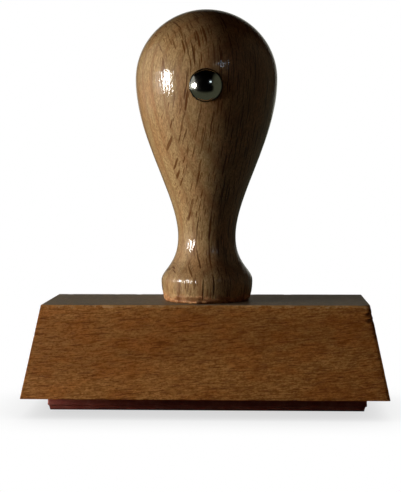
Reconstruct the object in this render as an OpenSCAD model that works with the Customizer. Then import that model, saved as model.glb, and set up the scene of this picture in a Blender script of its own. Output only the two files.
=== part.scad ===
// Wooden hand stamp: a pear-shaped turned handle is screwed to a sloped block, and a
// domed nail in the handle marks the front. The block carries a rubber die on a
// sponge layer, held by two adhesive films.
// Frame: millimetres, +Z up. The print face lies on z = 0 with the block's centre
// over the origin. X runs along the block and the front looks towards -Y.

/* [Handle] */
// Height of the handle above the block
handle_h = 60; // [52:0.5:75]
// Diameter at the widest part of the head
head_d = 29.3; // [25:0.1:36]
// Height of the crown above the widest part
crown_h = 14.3; // [10:0.1:18]
// Diameter of the neck at its waist
neck_d = 12; // [10:0.1:15]
// Height of the waist above the block
neck_z = 13.2; // [11:0.1:17]
// Diameter of the foot bead
foot_d = 19; // [17:0.1:22]
// Height of the bead's widest part above the block
foot_z = 4.1; // [3:0.1:6]
// Diameter of the flat that stands on the block
base_d = 16.4; // [15:0.1:17]

/* [Handle curves] */
// Fullness of the crown
crown_full = 0.55; // [0.4:0.01:0.75]
// Fullness of the head below its widest part
head_full = 0.375; // [0.2:0.005:0.5]
// Length of the waist's upper curve, as a share of the drop from head to waist
neck_full = 0.265; // [0.15:0.005:0.45]
// Length of the waist's lower curve, as a share of the drop from waist to bead
waist_full = 0.635; // [0.4:0.005:0.75]
// Fullness of the bead's shoulder
bead_full = 0.245; // [0.15:0.005:0.35]
// Fullness of the bead below its widest part
sole_full = 0.55; // [0.4:0.01:0.75]

/* [Marker nail] */
// Diameter of the nail's domed cap
cap_d = 6.5; // [5:0.1:8]
// Height of the dome
cap_h = 2.3; // [1.6:0.1:3]
// Wall of the pressed cap
cap_wall = 0.45; // [0.3:0.05:0.6]
// Diameter of the nail's pin
pin_d = 1.6; // [1.2:0.1:2]
// Length of the pin in the wood
pin_depth = 10; // [6:0.5:12]
// Length of the pin's point
pin_point = 2; // [1:0.1:3]
// Depth of the nail below the top of the handle
nail_drop = 16.5; // [14:0.1:20]
// Turn of the nail from the block's square front, in degrees
nail_turn = 2; // [-10:0.5:10]
// Depth that the cap's rim is driven into the wood
cap_bite = 0.1; // [0.05:0.05:0.3]

/* [Block] */
// Length of the block along its lower edge
block_l = 73.5; // [60:0.5:100]
// Depth of the block along its lower edge
block_w = 31; // [27:0.5:45]
// Height of the block
block_h = 18.5; // [16:0.5:22]
// Lean of the four sides from upright, in degrees
side_lean = 11.5; // [6:0.5:13]

/* [Dowel screw] */
// Length of the screw in the handle
screw_up = 18; // [12:0.5:24]
// Length of the screw in the block
screw_down = 12; // [9:0.5:13]
// Diameter over the thread
thread_d = 4.6; // [4:0.1:5.5]
// Diameter of the screw's core
core_d = 3.2; // [2.6:0.1:3.8]
// Pitch of the thread
thread_pitch = 2.4; // [1.6:0.1:3]
// Length of the plain shank between the two threads
shank_l = 4; // [2:0.5:6]
// Length of each pointed end
screw_point = 3; // [2:0.5:4]

/* [Print layers] */
// Length of the rubber die and the layers above it
die_l = 66; // [50:0.5:72]
// Depth of the rubber die and the layers above it
die_w = 11; // [8:0.5:26]
// Thickness of the die's floor
die_floor = 1.3; // [0.8:0.1:2]
// Height of the raised print
relief_h = 1; // [0.6:0.1:1.5]
// Thickness of the sponge layer
sponge_t = 1.5; // [1:0.1:4]
// Thickness of each adhesive film
film_t = 0.1; // [0.06:0.02:0.2]

/* [Print pattern] */
// Margin of the die outside the print
print_margin = 0.6; // [0.4:0.1:1.5]
// Width of the two long rules
rule_w = 0.8; // [0.5:0.1:1.2]
// Length of a lozenge
lozenge_l = 6; // [4:0.1:8]
// Space between the lozenges and the rules
lozenge_gap = 0.7; // [0.4:0.1:1]
// Step from one lozenge to the next
lozenge_step = 9; // [8.5:0.1:12]
// Diameter of the dots between lozenges
dot_d = 1.6; // [1:0.1:2]

/* [Clearances] */
// Clearance round the screw's plain shank
screw_fit = 0.05; // [0.02:0.01:0.2]
// Step of the plain shank over the thread, all round
shank_over = 0.1; // [0.05:0.05:0.3]
// Clearance round the nail's cap and pin in the wood
nail_fit = 0.02; // [0.01:0.01:0.1]
// Air left past the point of the pin and of the screw
point_air = 0.5; // [0.2:0.1:1]

/* [Hidden] */
$fn = 96;
curve_steps = 14;
thread_sides = 10;
thread_steps = 10;
crest_half_angle = 72;
point_r = 0.2;

// Heights of the layers, from the print face upwards
lower_film_z = relief_h + die_floor;
sponge_z = lower_film_z + film_t;
upper_film_z = sponge_z + sponge_t;
block_z = upper_film_z + film_t;
handle_z = block_z + block_h;

// Handle profile, as [radius, height] points up from the sole to the crown
head_r = head_d / 2;
neck_r = neck_d / 2;
foot_r = foot_d / 2;
base_r = base_d / 2;
head_z = handle_h - crown_h;
head_drop = head_z - neck_z;
neck_drop = neck_z - foot_z;
sole_curve = bezier([base_r, 0], [base_r + sole_full * (foot_r - base_r), 0],
                    [foot_r, (1 - sole_full) * foot_z], [foot_r, foot_z]);
waist_curve = bezier([foot_r, foot_z], [foot_r, foot_z + bead_full * neck_drop],
                     [neck_r, neck_z - waist_full * neck_drop], [neck_r, neck_z]);
body_curve = bezier([neck_r, neck_z], [neck_r, neck_z + neck_full * head_drop],
                    [head_r, head_z - head_full * head_drop], [head_r, head_z]);
crown_curve = bezier([head_r, head_z], [head_r, head_z + crown_full * crown_h],
                     [crown_full * head_r, handle_h], [0, handle_h]);
handle_side = concat(sole_curve, waist_curve, body_curve, crown_curve);

// Nail cap: a shallow ball cap with a flat inside, where the pin is welded on
cap_r = cap_d / 2;
ball_r = (cap_r * cap_r + cap_h * cap_h) / (2 * cap_h);
ball_z = cap_h - ball_r;
weld_z = cap_h - 2 * cap_wall;
pin_r = pin_d / 2;
nail_z = handle_h - nail_drop;
nail_wood_r = min(handle_radius(nail_z - cap_r), handle_radius(nail_z + cap_r));
nail_seat = sqrt(nail_wood_r * nail_wood_r - cap_r * cap_r) - cap_bite;

side_inset = block_h * tan(side_lean);

// Dowel screw: the threads start inside the shank, and the points inside the threads
core_r = core_d / 2;
thread_r = thread_d / 2;
shank_r = thread_r + shank_over;
shank_lap = shank_l / 4;
point_base_r = 0.9 * core_r;
point_lap = screw_point / 8;

// Print pattern
print_l = die_l - 2 * print_margin;
print_w = die_w - 2 * print_margin;
lozenge_w = print_w - 2 * rule_w - 2 * lozenge_gap;
lozenge_pairs = floor((print_l - lozenge_l) / 2 / lozenge_step);

// Points of a cubic curve from a to d with handles b and c, without the last point
function bezier(a, b, c, d) = [
    for (i = [0 : curve_steps - 1])
        let (t = i / curve_steps, s = 1 - t)
        s * s * s * a + 3 * s * s * t * b + 3 * s * t * t * c + t * t * t * d
];

// Radius of the handle's outside at a height above the block
function handle_radius(z) = lookup(z, [
    for (p = concat(waist_curve, body_curve, crown_curve))
        [p[1], p[0]]
]);

// Radius of the screw's section at an angle from the thread's crest
function thread_section_r(angle) = core_r + (thread_r - core_r) * max(0, 1 - angle / crest_half_angle);

// Carries its children to the nail's seat, with their +Z pointing out of the wood
module at_nail() {
    translate([0, 0, handle_z])
        rotate([0, 0, nail_turn])
            translate([0, -nail_seat, nail_z])
                rotate([90, 0, 0])
                    children();
}

// A round pin up from z = 0 to the height h, with its point below
module pointed_pin(r, below, point, h) {
    translate([0, 0, point - below])
        cylinder(h = below - point + h, r = r);
    translate([0, 0, -below])
        cylinder(h = point, r1 = min(point_r, r / 2), r2 = r);
}

module handle() {
    color("burlywood")
        difference() {
            translate([0, 0, handle_z])
                rotate_extrude()
                    polygon(concat([[0, 0]], handle_side, [[0, handle_h]]));
            translate([0, 0, handle_z])
                screw_bore(screw_up);
            at_nail()
                cylinder(h = head_d, r = cap_r + nail_fit);
            at_nail()
                pointed_pin(pin_r + nail_fit, pin_depth + point_air, pin_point, head_d);
        }
}

module nail_cap() {
    color("gainsboro")
        at_nail()
            rotate_extrude()
                difference() {
                    ball_half(ball_r, cap_h);
                    ball_half(ball_r - cap_wall, weld_z);
                }
}

// Half section of the cap's ball, between the rim's plane and a height
module ball_half(r, h) {
    intersection() {
        translate([0, ball_z])
            circle(r = r);
        square([cap_d, h]);
    }
}

module nail_pin() {
    color("silver")
        at_nail()
            pointed_pin(pin_r, pin_depth, pin_point, weld_z);
}

module dowel_screw() {
    color("darkkhaki")
        translate([0, 0, handle_z]) {
            cylinder(h = shank_l, r = shank_r, center = true);
            threaded_end(screw_up, 1);
            mirror([0, 0, 1])
                threaded_end(screw_down, -1);
        }
}

// One end of the screw, up from inside the shank: the thread and the point
module threaded_end(length, hand) {
    thread_l = length - screw_point - shank_lap;
    turns = thread_l / thread_pitch;
    translate([0, 0, shank_lap])
        linear_extrude(height = thread_l, twist = -hand * 360 * turns,
                       slices = ceil(turns * thread_steps), $fn = thread_sides)
            polygon([
                for (i = [0 : thread_sides - 1])
                    let (angle = 360 * i / thread_sides)
                    thread_section_r(min(angle, 360 - angle)) * [cos(angle), sin(angle)]
            ]);
    translate([0, 0, length - screw_point - point_lap])
        cylinder(h = screw_point + point_lap, r1 = point_base_r, r2 = point_r);
}

// Bore for one end of the screw, up from the joint: the shank's seat and the pilot hole
module screw_bore(length) {
    translate([0, 0, -point_air])
        cylinder(h = shank_l / 2 + point_air, r = shank_r + screw_fit);
    cylinder(h = length + point_air, r = core_r);
}

module mount_block() {
    color("sienna")
        difference() {
            translate([0, 0, block_z])
                intersection() {
                    block_profile(block_l, block_w);
                    rotate([0, 0, 90])
                        block_profile(block_w, block_l);
                }
            translate([0, 0, handle_z])
                mirror([0, 0, 1])
                    screw_bore(screw_down);
        }
}

// Bar with two leaning sides, as long as the block's other direction
module block_profile(base, length) {
    rotate([90, 0, 0])
        linear_extrude(height = length, center = true)
            polygon([
                [-base / 2, 0],
                [base / 2, 0],
                [base / 2 - side_inset, block_h],
                [-base / 2 + side_inset, block_h]
            ]);
}

// A flat layer of the die's outline
module die_sheet(z, t) {
    translate([-die_l / 2, -die_w / 2, z])
        cube([die_l, die_w, t]);
}

module upper_film() {
    color("ivory")
        die_sheet(upper_film_z, film_t);
}

module sponge_layer() {
    color("dimgray")
        die_sheet(sponge_z, sponge_t);
}

module lower_film() {
    color("ivory")
        die_sheet(lower_film_z, film_t);
}

module rubber_die() {
    color("indianred")
        union() {
            die_sheet(relief_h, die_floor);
            linear_extrude(height = relief_h + die_floor / 2)
                print_pattern();
        }
}

// Flat print: a row of lozenges and dots between two long rules
module print_pattern() {
    for (side = [-1, 1])
        translate([-print_l / 2, side * (print_w - rule_w) / 2 - rule_w / 2])
            square([print_l, rule_w]);
    for (i = [-lozenge_pairs : lozenge_pairs])
        translate([i * lozenge_step, 0])
            polygon([[-lozenge_l / 2, 0], [0, -lozenge_w / 2], [lozenge_l / 2, 0], [0, lozenge_w / 2]]);
    for (i = [-lozenge_pairs : lozenge_pairs - 1])
        translate([(i + 0.5) * lozenge_step, 0])
            circle(d = dot_d);
}

handle();
nail_cap();
nail_pin();
dowel_screw();
mount_block();
upper_film();
sponge_layer();
lower_film();
rubber_die();
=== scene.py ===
"""Looks of the wooden hand stamp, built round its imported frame.

The turned handle, the sloped block, the marker nail and the print layers are modelled in
millimetres in the frame's own axes, +Z up from the print face, X along the block and the
front at -Y. make_piece turns them into metres.
"""

import logging
import math
from abc import ABC, abstractmethod
from dataclasses import dataclass, replace
from enum import Enum

import bpy
import numpy as np
from mathutils import Matrix, Vector, noise


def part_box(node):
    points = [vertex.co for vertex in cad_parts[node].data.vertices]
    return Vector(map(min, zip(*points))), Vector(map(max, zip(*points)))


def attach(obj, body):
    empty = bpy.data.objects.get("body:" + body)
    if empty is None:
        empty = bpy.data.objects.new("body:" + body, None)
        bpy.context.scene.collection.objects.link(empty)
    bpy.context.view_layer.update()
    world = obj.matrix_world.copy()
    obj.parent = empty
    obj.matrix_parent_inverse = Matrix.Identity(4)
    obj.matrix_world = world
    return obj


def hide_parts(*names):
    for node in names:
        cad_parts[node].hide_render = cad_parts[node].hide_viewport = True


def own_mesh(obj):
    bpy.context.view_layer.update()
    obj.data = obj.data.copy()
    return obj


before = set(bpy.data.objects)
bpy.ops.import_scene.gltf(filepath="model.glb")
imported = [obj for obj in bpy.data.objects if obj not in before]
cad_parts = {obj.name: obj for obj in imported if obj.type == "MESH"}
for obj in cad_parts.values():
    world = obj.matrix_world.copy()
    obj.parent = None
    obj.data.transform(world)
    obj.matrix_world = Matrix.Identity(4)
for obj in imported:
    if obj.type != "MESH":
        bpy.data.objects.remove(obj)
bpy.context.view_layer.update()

Point2 = tuple[float, float]
Point3 = tuple[float, float, float]
Colour = tuple[float, float, float]
Faces = list[tuple[int, ...]]
Mesh = tuple[np.ndarray, Faces]
Socket = bpy.types.NodeSocket

MM = 0.001
TINY = 1e-9
IMAGE_WIDTH = 401
IMAGE_HEIGHT = 492
NO_TURN: Point3 = (0.0, 0.0, 0.0)
UNSTRETCHED: Point3 = (1.0, 1.0, 1.0)
NOISE_BULK: Point2 = (0.3, 0.7)
BLACK: Colour = (0.0, 0.0, 0.0)
WHITE: Colour = (1.0, 1.0, 1.0)

log = logging.getLogger("hand_stamp")


class Body(Enum):
    """Rigid bodies of the frame that pieces ride on."""

    STAMP = "stamp"
    DIE = "die"


class Slot(Enum):
    """Material slots of the record."""

    LACQUERED_BEECH = "lacquered_beech"
    OILED_BEECH = "oiled_beech"
    NICKEL = "nickel"
    STEEL = "steel"
    ZINC_STEEL = "zinc_steel"
    ADHESIVE = "adhesive"
    SPONGE = "sponge"
    DIE_RUBBER = "die_rubber"


class GrainWay(Enum):
    """Turn, in degrees about X, Y and Z, that lays the ray sheets across X and the fibres along Z."""

    UPRIGHT = (1.5, -1.5, -27.0)
    ALONG_BLOCK = (4.0, 95.0, 0.0)


def srgb(red: int, green: int, blue: int) -> Colour:
    """Turns an 8-bit display colour into linear light.

    Args:
        red: Red from 0 to 255.
        green: Green from 0 to 255.
        blue: Blue from 0 to 255.

    Returns:
        The linear colour.
    """
    def linear(value: int) -> float:
        """One channel as linear light."""
        share = value / 255
        return share / 12.92 if share <= 0.04045 else ((share + 0.055) / 1.055) ** 2.4

    return linear(red), linear(green), linear(blue)


def smooth_step(low: float, high: float, value: np.ndarray) -> np.ndarray:
    """Rises smoothly from 0 at low to 1 at high.

    Args:
        low: Value where the rise starts.
        high: Value where it ends.
        value: Values to map.

    Returns:
        The mapped values.
    """
    share = np.clip((value - low) / (high - low), 0.0, 1.0)
    return share * share * (3 - 2 * share)


@dataclass(frozen=True)
class Waver:
    """Smooth noise that makes a measure uneven, with its cells per millimetre along each axis."""

    share: float
    cells: Point3
    seed: float

    def at(self, points: np.ndarray) -> np.ndarray:
        """Noise from about -share to share at each point.

        Args:
            points: Points in millimetres, one per row.

        Returns:
            One value for each point.
        """
        scaled = points * np.array(self.cells) + self.seed
        return self.share * np.array([noise.noise(Vector(row)) for row in scaled])


@dataclass(frozen=True)
class Layer:
    """Shader noise that shows between two of its values, if not told otherwise from its bulk."""

    cells: Point3
    detail: float
    roughness: float
    low: float = NOISE_BULK[0]
    high: float = NOISE_BULK[1]


@dataclass(frozen=True)
class Flecks:
    """Lens-shaped cuts of the wood's rays, in millimetres across, along and up the sheets.

    They sway by bend, and fade between two slopes as the surface turns along the sheets.
    """

    colour: Colour
    gap: Point3
    half: Point3
    share: float
    seed: float = 0.0
    bend: float = 0.3
    fade: Point2 = (0.84, 0.92)


@dataclass(frozen=True)
class Rings:
    """Growth rings, with the parts of the wave that darken a little and that draw a line."""

    cells: Point3 = (0.1, 0.1, 0.02)
    distortion: float = 3.0
    detail: float = 2.0
    flank: Point2 = (0.3, 1.0)
    flank_share: float = 0.3
    crest: Point2 = (0.86, 1.0)


MOTTLE = Layer((0.3, 0.3, 0.12), detail=3.0, roughness=0.6, low=0.38, high=0.66)
FIBRE = Layer((3.6, 3.6, 0.5), detail=3.0, roughness=0.65, low=0.38, high=0.68)
GRAIN = Layer((3.2, 3.2, 1.8), detail=3.0, roughness=0.7, low=0.42, high=0.7)
TORN = Layer((0.9, 0.9, 1.6), detail=2.0, roughness=0.5, low=0.48, high=0.62)
RAGGED = Layer((0.6, 0.6, 0.6), detail=3.0, roughness=0.65)
GRIT = Layer((3.0, 3.0, 1.3), detail=3.0, roughness=0.65)


class ShaderBench:
    """Lays out the shader nodes of a material or of the world."""

    sway_cells: Point3 = (0.3, 0.3, 0.3)
    lens_sizes: Point2 = (0.45, 1.0)
    lens_strengths: Point2 = (0.6, 1.0)
    lens_rim: Point2 = (0.75, 1.1)

    def __init__(self, owner: bpy.types.ID) -> None:
        """Opens the nodes of a new material or world.

        Args:
            owner: The material or world.
        """
        owner.use_nodes = True
        self.tree = owner.node_tree

    def node(self, kind: str, **settings: object) -> bpy.types.Node:
        """Adds a node and sets its properties.

        Args:
            kind: Blender's type name of the node.
            **settings: Properties to set on it.

        Returns:
            The node.
        """
        made = self.tree.nodes.new(kind)
        for name, value in settings.items():
            setattr(made, name, value)
        return made

    def feed(self, socket: Socket, value: object) -> None:
        """Links a socket to another, or sets its value.

        Args:
            socket: Input socket.
            value: Output socket to link, or a plain value.
        """
        if isinstance(value, bpy.types.NodeSocket):
            self.tree.links.new(value, socket)
        elif socket.type == "RGBA":
            socket.default_value = (*value, 1.0)
        else:
            socket.default_value = value

    def set(self, **values: object) -> None:
        """Feeds the material's shader, whose sockets are named with underscores for spaces."""
        for name, value in values.items():
            self.feed(self.tree.nodes["Principled BSDF"].inputs[name.replace("_", " ")], value)

    def texture(self, kind: str, vector: Socket, **values: float) -> bpy.types.Node:
        """Adds a texture with one cell per unit of its vector.

        Args:
            kind: Blender's type name of the texture.
            vector: Place that it reads.
            **values: Values of its other sockets.

        Returns:
            The node.
        """
        made = self.node(kind)
        self.feed(made.inputs["Vector"], vector)
        for name, value in {"Scale": 1.0, **values}.items():
            made.inputs[name].default_value = value
        return made

    def step(self, kind: str, operation: str, values: tuple[object, ...]) -> bpy.types.Node:
        """Adds one step of arithmetic.

        Args:
            kind: Blender's type name of the node.
            operation: Blender's name of the operation.
            values: Values or sockets, in the order of the node's inputs.

        Returns:
            The node.
        """
        made = self.node(kind, operation=operation)
        for socket, value in zip(made.inputs, values):
            self.feed(socket, value)
        return made

    def math(self, operation: str, *values: object) -> Socket:
        """Result of one step of arithmetic on numbers."""
        return self.step("ShaderNodeMath", operation, values).outputs[0]

    def vector(self, operation: str, *values: object) -> Socket:
        """Vector that one step of arithmetic on vectors gives."""
        return self.step("ShaderNodeVectorMath", operation, values).outputs["Vector"]

    def length(self, operation: str, *values: object) -> Socket:
        """Number that one step of arithmetic on vectors gives."""
        return self.step("ShaderNodeVectorMath", operation, values).outputs["Value"]

    def axis(self, vector: Socket, name: str) -> Socket:
        """One coordinate of a vector.

        Args:
            vector: The vector.
            name: X, Y or Z.

        Returns:
            The number.
        """
        split = self.node("ShaderNodeSeparateXYZ")
        self.feed(split.inputs[0], vector)
        return split.outputs[name]

    def turned(self, source: str, turn: Point3, **settings: object) -> Socket:
        """One of the piece's own coordinates, turned.

        Args:
            source: Blender's name of the coordinate.
            turn: Turn about X, Y and Z in degrees.
            **settings: Properties of the mapping.

        Returns:
            The vector.
        """
        mapping = self.node("ShaderNodeMapping", **settings)
        self.feed(mapping.inputs["Vector"], self.node("ShaderNodeTexCoord").outputs[source])
        mapping.inputs["Rotation"].default_value = [math.radians(angle) for angle in turn]
        return mapping.outputs["Vector"]

    def place(self, stretch: Point3 = UNSTRETCHED, turn: Point3 = NO_TURN) -> Socket:
        """Place on the piece in millimetres, turned and then stretched along each axis."""
        return self.vector("MULTIPLY", self.turned("Object", turn), tuple(k / MM for k in stretch))

    def noise(self, cells: Point3, detail: float, roughness: float = 0.5, turn: Point3 = NO_TURN) -> Socket:
        """Noise from 0 to 1.

        Args:
            cells: Cells per millimetre along each axis.
            detail: Octaves of finer noise.
            roughness: Strength of the finer octaves.
            turn: Turn about X, Y and Z in degrees.

        Returns:
            The value.
        """
        place = self.place(cells, turn)
        return self.texture("ShaderNodeTexNoise", place, Detail=detail, Roughness=roughness).outputs[0]

    def raw(self, layer: Layer, turn: Point3 = NO_TURN) -> Socket:
        """Noise of a layer before its limits."""
        return self.noise(layer.cells, layer.detail, layer.roughness, turn)

    def layer(self, layer: Layer, share: float = 1.0, turn: Point3 = NO_TURN) -> Socket:
        """Strength of a layer from 0 to share."""
        return self.span(self.raw(layer, turn), layer.low, layer.high, 0.0, share)

    def walls(self, cells: Point3) -> Socket:
        """Distance to the walls of scattered cells.

        Args:
            cells: Cells per millimetre along each axis.

        Returns:
            The distance.
        """
        made = self.texture("ShaderNodeTexVoronoi", self.place(cells))
        made.feature = "DISTANCE_TO_EDGE"
        return made.outputs["Distance"]

    def span(self, value: Socket, low: float, high: float, start: float = 0.0, end: float = 1.0,
             shape: str = "SMOOTHSTEP") -> Socket:
        """Maps low to high onto start to end, and stays within them.

        Args:
            value: Value to map.
            low: Value that gives start.
            high: Value that gives end.
            start: Result at low.
            end: Result at high.
            shape: Blender's name of the way between them.

        Returns:
            The mapped value.
        """
        mapped = self.node("ShaderNodeMapRange", interpolation_type=shape)
        limits = {"Value": value, "From Min": low, "From Max": high, "To Min": start, "To Max": end}
        for name, limit in limits.items():
            self.feed(mapped.inputs[name], limit)
        return mapped.outputs["Result"]

    def lenses(self, flecks: Flecks, turn: Point3) -> Socket:
        """Strength from 0 to 1 of scattered lens-shaped flecks.

        Args:
            flecks: Their sizes and pattern.
            turn: Turn about X, Y and Z in degrees.

        Returns:
            The strength.
        """
        sway = self.texture("ShaderNodeTexNoise", self.place(self.sway_cells, turn)).outputs["Color"]
        shift = self.vector("MULTIPLY_ADD", sway, 3 * (flecks.bend / flecks.gap[0],), 3 * (flecks.seed,))
        grid = self.vector("ADD", self.place(tuple(1 / gap for gap in flecks.gap), turn), shift)
        cells = self.texture("ShaderNodeTexVoronoi", grid)
        away = self.vector("SUBTRACT", grid, cells.outputs["Position"])
        squeeze = tuple(gap / half for gap, half in zip(flecks.gap, flecks.half))
        reach = self.length("LENGTH", self.vector("MULTIPLY", away, squeeze))
        chance = self.node("ShaderNodeSeparateColor")
        self.feed(chance.inputs[0], cells.outputs["Color"])
        reach = self.math("DIVIDE", reach, self.span(chance.outputs[0], 0.0, 1.0, *self.lens_sizes))
        strength = self.span(chance.outputs[1], 0.0, 1.0, *self.lens_strengths)
        return self.math("MULTIPLY", self.span(reach, *self.lens_rim, 1.0, 0.0), strength)

    def edge_on(self, turn: Point3, fade: Point2) -> Socket:
        """Share from 1 to 0 as the surface turns from cutting sheets across X to lying along them.

        Args:
            turn: Turn about X, Y and Z in degrees that lays the sheets across X.
            fade: Slopes that give 1 and 0.

        Returns:
            The share.
        """
        normal = self.turned("Normal", turn, vector_type="NORMAL")
        return self.span(self.math("ABSOLUTE", self.axis(normal, "X")), *fade, 1.0, 0.0)

    def facing_up(self, low: float, high: float) -> Socket:
        """Share from 0 to 1 as the surface turns upwards between two slopes."""
        return self.span(self.axis(self.node("ShaderNodeTexCoord").outputs["Normal"], "Z"), low, high)

    def mix(self, share: object, first: object, second: object) -> Socket:
        """Mixes two colours.

        Args:
            share: How much of the second, from 0 to 1.
            first: First colour or socket.
            second: Second colour or socket.

        Returns:
            The colour.
        """
        mixer = self.node("ShaderNodeMix", data_type="RGBA")
        self.feed(mixer.inputs[0], share)
        self.feed(mixer.inputs[6], first)
        self.feed(mixer.inputs[7], second)
        return mixer.outputs[2]

    def height_at(self, low: float, high: float, ragged: Socket | None = None) -> Socket:
        """Share from 0 to 1 between two heights of the row frame.

        Args:
            low: Height that gives 0, in millimetres.
            high: Height that gives 1, in millimetres.
            ragged: Noise that makes the heights uneven.

        Returns:
            The share.
        """
        height = self.axis(self.place(), "Z")
        if ragged is not None:
            uneven = self.span(ragged, *NOISE_BULK, low - high, high - low)
            height = self.math("ADD", height, uneven)
        return self.span(height, low, high)

    def bump(self, height: Socket, depth: float) -> Socket:
        """Bends the surface by a height map.

        Args:
            height: Height from 0 to 1.
            depth: Depth in millimetres that a height of 1 stands for.

        Returns:
            The normal.
        """
        bend = self.node("ShaderNodeBump")
        bend.inputs["Strength"].default_value = 1.0
        bend.inputs["Distance"].default_value = depth * MM
        self.feed(bend.inputs["Height"], height)
        return bend.outputs["Normal"]


class Finish(ABC):
    """A surface finish that can be put on a mesh."""

    name: str
    slot: Slot

    @abstractmethod
    def paint(self, bench: ShaderBench) -> None:
        """Lays out the finish on the bench of its material."""

    def dress(self, piece: bpy.types.Object) -> None:
        """Gives a piece this finish in place of what it has.

        Args:
            piece: The piece.
        """
        material = bpy.data.materials.new(self.name)
        self.paint(ShaderBench(material))
        piece.data.materials.clear()
        piece.data.materials.append(material)


@dataclass(frozen=True)
class WornEdgeAndPaintedHighlight:
    """Pale colour below or above two heights of the row frame: torn bare wood on the handle's lip, and a
    painted highlight along the block's top edge.
    """

    colour: Colour
    bright: Colour
    heights: Point2
    share: float
    below: bool
    ragged: Point2 = (0.25, 0.6)
    least: float = 0.45


@dataclass(frozen=True)
class Lacquer:
    """Clear gloss coat whose ripple and swell grow towards the foot, and its speckle as well.

    It starts a little above the worn edge.
    """

    ripple_heights: Point2
    speckle_heights: Point2
    roughness: float = 0.05
    ior: float = 1.5
    bare_rise: float = 0.6
    ripple_depth: float = 0.045
    ripple_cells: Point3 = (2.4, 2.4, 0.6)
    ripple_growth: float = 1.5
    swell_cells: Point3 = (1.3, 1.3, 0.35)
    swell_growth: float = 2.0
    speckle_cells: Point3 = (3.1, 3.1, 2.4)
    speckle: Point2 = (1.15, 0.45)

    def coat(self, bench: ShaderBench, turn: Point3, edge: WornEdgeAndPaintedHighlight) -> None:
        """Lays the coat on the wood.

        Args:
            bench: Bench of the wood's material.
            turn: The wood's turn.
            edge: Its worn edge, which stays bare.
        """
        low_down = bench.math("SUBTRACT", 1.0, bench.height_at(*self.ripple_heights))
        growth = bench.math("MULTIPLY_ADD", low_down, self.ripple_growth, 1.0)
        ripple = bench.math("MULTIPLY", bench.noise(self.ripple_cells, 0.0, turn=turn), growth)
        growth = bench.math("MULTIPLY", low_down, self.swell_growth)
        swell = bench.math("MULTIPLY", bench.noise(self.swell_cells, 0.0, turn=turn), growth)
        low, high = self.speckle
        growth = bench.math("MULTIPLY_ADD", bench.height_at(*self.speckle_heights), high - low, low)
        speckle = bench.math("MULTIPLY", bench.noise(self.speckle_cells, 0.0, turn=turn), growth)
        ripple = bench.math("ADD", bench.math("ADD", ripple, swell), speckle)
        bare = [height + self.bare_rise for height in edge.heights]
        bench.set(Coat_Weight=bench.height_at(*bare, bench.raw(RAGGED)), Coat_Roughness=self.roughness,
                  Coat_IOR=self.ior, Coat_Normal=bench.bump(ripple, self.ripple_depth))


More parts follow.
